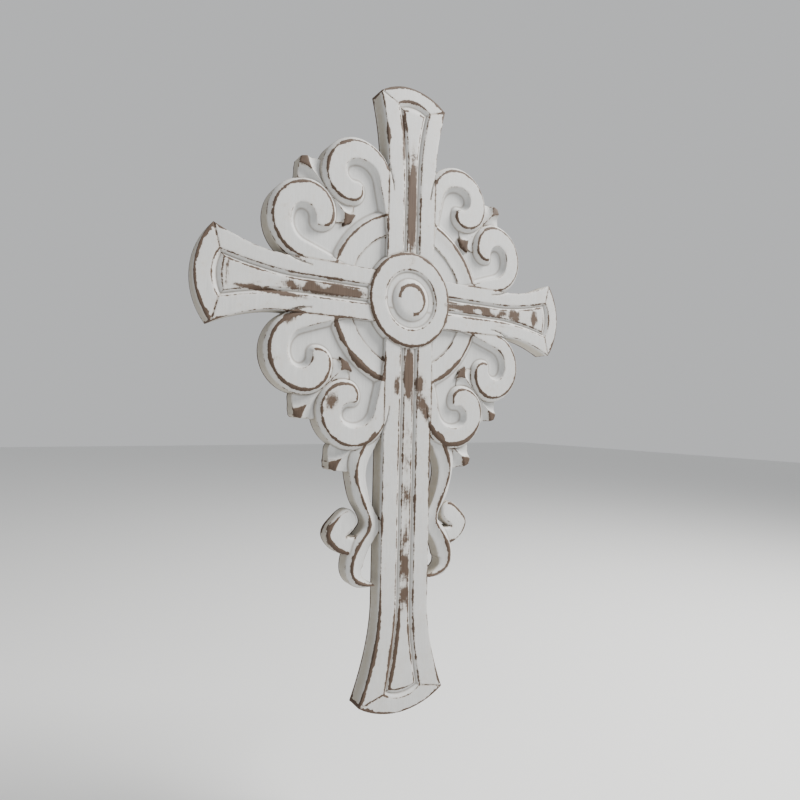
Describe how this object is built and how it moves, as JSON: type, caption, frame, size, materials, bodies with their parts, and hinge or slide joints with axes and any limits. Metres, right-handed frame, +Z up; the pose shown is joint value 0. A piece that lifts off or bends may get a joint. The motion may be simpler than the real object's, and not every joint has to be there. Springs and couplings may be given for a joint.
{
  "type": "carved wall cross",
  "caption": "Wall cross with flared arms, a turned boss, and scrolls, leaves and fretwork in the corners, carved from one board and whitewashed.",
  "frame": {"origin": "on the flat back, behind the middle of the boss", "axes": "+Z up the upright, +X to the viewer's right, the carved front faces -Y and the back faces +Y"},
  "size_m": [0.3774, 0.021, 0.5587],
  "materials": {
    "whitewashed_wood": "matt white paint over brown wood, rubbed through to the wood along edges and on the panels"
  },
  "bodies": {
    "root": {"carved_cross": "whitewashed_wood"}
  },
  "joints": []
}
